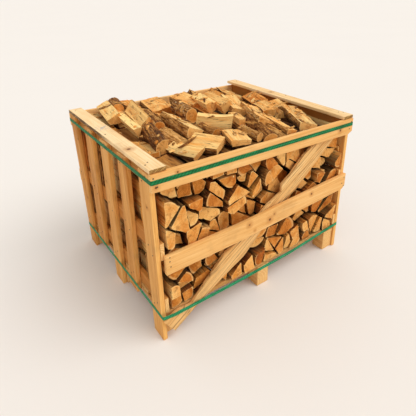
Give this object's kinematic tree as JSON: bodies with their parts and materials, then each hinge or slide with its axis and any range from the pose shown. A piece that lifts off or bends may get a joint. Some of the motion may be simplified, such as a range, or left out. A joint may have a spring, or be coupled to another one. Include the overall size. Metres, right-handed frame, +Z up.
{
  "type": "crate of firewood",
  "caption": "Slatted softwood crate on a block pallet base, held by green packing straps and stacked full of split ash and oak logs.",
  "frame": {"origin": "centre of the crate's bounding box, at floor level", "axes": "+X along the front, the longer side; +Y from the braced front seen in the picture to the back; +Z up"},
  "size_m": [1.2026, 1.0346, 0.9249],
  "materials": {
    "slat_wood": "sawn softwood, golden tan",
    "rail_wood": "sawn softwood, pale yellow",
    "cap_wood": "sawn softwood, pale cream",
    "base_wood": "sawn softwood",
    "firewood": "split hardwood with patches of bark",
    "strap": "embossed green packing strap"
  },
  "bodies": {
    "root": {"front_left_foot": "base_wood", "centre_left_foot": "base_wood", "back_left_foot": "base_wood", "left_bearer": "base_wood", "front_middle_foot": "base_wood", "centre_middle_foot": "base_wood", "back_middle_foot": "base_wood", "middle_bearer": "base_wood", "front_right_foot": "base_wood", "centre_right_foot": "base_wood", "back_right_foot": "base_wood", "right_bearer": "base_wood", "deck_plank_1": "base_wood", "deck_plank_2": "base_wood", "deck_plank_3": "base_wood", "deck_plank_4": "base_wood", "deck_plank_5": "base_wood", "deck_plank_6": "base_wood", "left_slat_1": "slat_wood", "left_slat_2": "slat_wood", "left_slat_3": "slat_wood", "left_slat_4": "slat_wood", "left_slat_5": "slat_wood", "left_bottom_rail": "rail_wood", "left_middle_rail": "rail_wood", "left_top_rail": "rail_wood", "left_cap_board": "cap_wood", "right_slat_1": "slat_wood", "right_slat_2": "slat_wood", "right_slat_3": "slat_wood", "right_slat_4": "slat_wood", "right_slat_5": "slat_wood", "right_bottom_rail": "rail_wood", "right_middle_rail": "rail_wood", "right_top_rail": "rail_wood", "right_cap_board": "cap_wood", "front_top_rail": "rail_wood", "front_middle_board": "rail_wood", "front_brace": "rail_wood", "back_top_rail": "rail_wood", "back_middle_board": "rail_wood", "back_brace": "rail_wood", "top_strap": "strap", "foot_strap": "strap", "front_log_row": "firewood", "middle_log_row": "firewood", "back_log_row": "firewood", "top_log_back_left": "firewood", "top_log_split_pale": "firewood", "top_log_half_round": "firewood", "top_log_thick": "firewood", "top_log_dark_bark": "firewood", "top_log_squared": "firewood", "top_log_slab": "firewood", "top_log_speckled": "firewood", "top_log_two_tone": "firewood", "top_log_long": "firewood", "top_log_block": "firewood", "top_log_grey": "firewood", "top_log_oak_bark": "firewood"}
  },
  "joints": []
}
